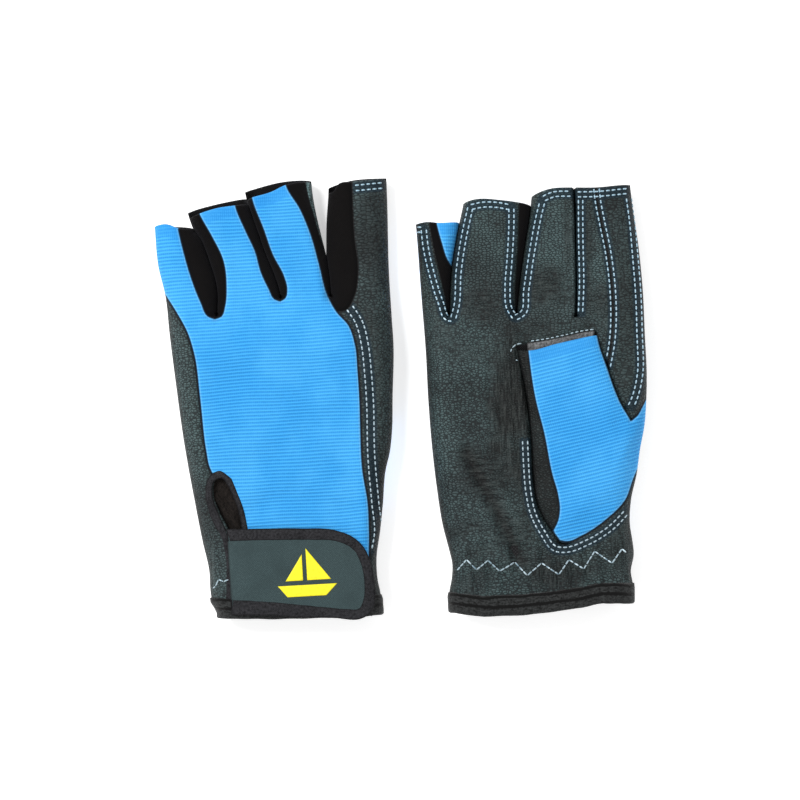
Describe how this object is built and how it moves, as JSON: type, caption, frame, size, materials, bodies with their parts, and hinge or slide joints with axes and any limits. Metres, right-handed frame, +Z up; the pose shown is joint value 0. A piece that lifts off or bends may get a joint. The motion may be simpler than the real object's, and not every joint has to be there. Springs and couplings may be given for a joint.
{
  "type": "sailing gloves",
  "caption": "Pair of fingerless sailing gloves lying flat, one back up and one palm up, with stretch backs, leather palms and hook-and-loop wrist straps.",
  "frame": {"origin": "centre of the pair's bounding box, on the floor", "axes": "+X from the left-hand glove to the right-hand glove, +Y from the wrists to the fingers, +Z up"},
  "size_m": [0.2155, 0.1914, 0.0236],
  "materials": {
    "leather": "pebbled synthetic leather, matte",
    "stretch_fabric": "fine ribbed stretch knit, slight sheen",
    "fourchette": "plain black knit",
    "binding": "woven black tape",
    "gusset": "soft brown-black knit",
    "strap_face": "smooth matte coated fabric",
    "hook_and_loop": "bristly hook-and-loop tape",
    "elastic": "ribbed elastic band",
    "emblem": "printed yellow rubber ink, satin"
  },
  "bodies": {
    "left_hand": {"left_palm_panel": "leather", "left_back_panel": "stretch_fabric", "left_side_panel": "leather", "left_thumb_base": "stretch_fabric", "left_wrist_elastic": "elastic", "left_wrist_binding": "binding", "left_opening_binding": "binding", "left_wrist_gusset": "gusset", "left_loop_patch": "hook_and_loop", "left_strap_anchor": "leather"},
    "left_strap": {"left_strap": "strap_face", "left_strap_binding": "binding", "left_hook_patch": "hook_and_loop", "left_strap_emblem": "emblem"},
    "left_thumb": {"left_thumb_palm": "leather", "left_thumb_back": "stretch_fabric"},
    "left_pinky": {"left_pinky_palm": "leather", "left_pinky_back": "stretch_fabric", "left_pinky_fourchette": "fourchette"},
    "left_ring": {"left_ring_palm": "leather", "left_ring_back": "stretch_fabric", "left_ring_fourchettes": "fourchette"},
    "left_middle": {"left_middle_palm": "leather", "left_middle_back": "stretch_fabric", "left_middle_fourchettes": "fourchette"},
    "left_index": {"left_index_palm": "leather", "left_index_back": "leather", "left_index_fourchette": "fourchette", "left_index_strip": "leather"},
    "right_hand": {"right_palm_panel": "leather", "right_back_panel": "stretch_fabric", "right_side_panel": "leather", "right_thumb_base": "stretch_fabric", "right_wrist_elastic": "elastic", "right_wrist_binding": "binding", "right_opening_binding": "binding", "right_wrist_gusset": "gusset", "right_loop_patch": "hook_and_loop", "right_strap_anchor": "leather"},
    "right_strap": {"right_strap": "strap_face", "right_strap_binding": "binding", "right_hook_patch": "hook_and_loop", "right_strap_emblem": "emblem"},
    "right_thumb": {"right_thumb_palm": "leather", "right_thumb_back": "stretch_fabric"},
    "right_pinky": {"right_pinky_palm": "leather", "right_pinky_back": "stretch_fabric", "right_pinky_fourchette": "fourchette"},
    "right_ring": {"right_ring_palm": "leather", "right_ring_back": "stretch_fabric", "right_ring_fourchettes": "fourchette"},
    "right_middle": {"right_middle_palm": "leather", "right_middle_back": "stretch_fabric", "right_middle_fourchettes": "fourchette"},
    "right_index": {"right_index_palm": "leather", "right_index_back": "leather", "right_index_fourchette": "fourchette", "right_index_strip": "leather"}
  },
  "joints": [
    {"name": "right_glove_lift", "type": "slide", "parent": "left_hand", "child": "right_hand", "axis": [0, 0, 1], "range_m": [0, 0.15]},
    {"name": "left_strap_hinge", "type": "hinge", "parent": "left_hand", "child": "left_strap", "pos_m": [-0.07438, -0.07678, 0.0236], "axis": [0.0567, -0.9984, 0], "range_deg": [0, 150]},
    {"name": "left_thumb_hinge", "type": "hinge", "parent": "left_hand", "child": "left_thumb", "pos_m": [-0.02268, -0.03653, 0.0045], "axis": [-0.463, -0.8864, 0], "range_deg": [0, 95]},
    {"name": "left_pinky_flex", "type": "hinge", "parent": "left_hand", "child": "left_pinky", "pos_m": [-0.09102, 0.03646, 0.0004], "axis": [-0.9808, -0.1951, 0], "range_deg": [0, 80]},
    {"name": "left_ring_flex", "type": "hinge", "parent": "left_hand", "child": "left_ring", "pos_m": [-0.0665, 0.04036, 0.0004], "axis": [-0.9713, -0.2377, 0], "range_deg": [0, 80]},
    {"name": "left_middle_flex", "type": "hinge", "parent": "left_hand", "child": "left_middle", "pos_m": [-0.04022, 0.04485, 0.0004], "axis": [-0.9722, -0.2343, 0], "range_deg": [0, 80]},
    {"name": "left_index_flex", "type": "hinge", "parent": "left_hand", "child": "left_index", "pos_m": [-0.01571, 0.04374, 0.0004], "axis": [-0.9988, -0.048, 0], "range_deg": [0, 80]},
    {"name": "right_strap_hinge", "type": "hinge", "parent": "right_hand", "child": "right_strap", "pos_m": [0.03369, -0.07324, 0], "axis": [-0.0279, 0.9996, 0], "range_deg": [0, 150]},
    {"name": "right_thumb_hinge", "type": "hinge", "parent": "right_hand", "child": "right_thumb", "pos_m": [0.08653, -0.0345, 0.0191], "axis": [0.4883, 0.8727, 0], "range_deg": [0, 95]},
    {"name": "right_pinky_flex", "type": "hinge", "parent": "right_hand", "child": "right_pinky", "pos_m": [0.01748, 0.03785, 0.0154], "axis": [0.9996, 0.0279, 0], "range_deg": [0, 80]},
    {"name": "right_ring_flex", "type": "hinge", "parent": "right_hand", "child": "right_ring", "pos_m": [0.03815, 0.03942, 0.0154], "axis": [0.9982, -0.0593, 0], "range_deg": [0, 80]},
    {"name": "right_middle_flex", "type": "hinge", "parent": "right_hand", "child": "right_middle", "pos_m": [0.06374, 0.04014, 0.0154], "axis": [0.9963, -0.0854, 0], "range_deg": [0, 80]},
    {"name": "right_index_flex", "type": "hinge", "parent": "right_hand", "child": "right_index", "pos_m": [0.09297, 0.03945, 0.0154], "axis": [0.9993, 0.0366, 0], "range_deg": [0, 80]}
  ]
}
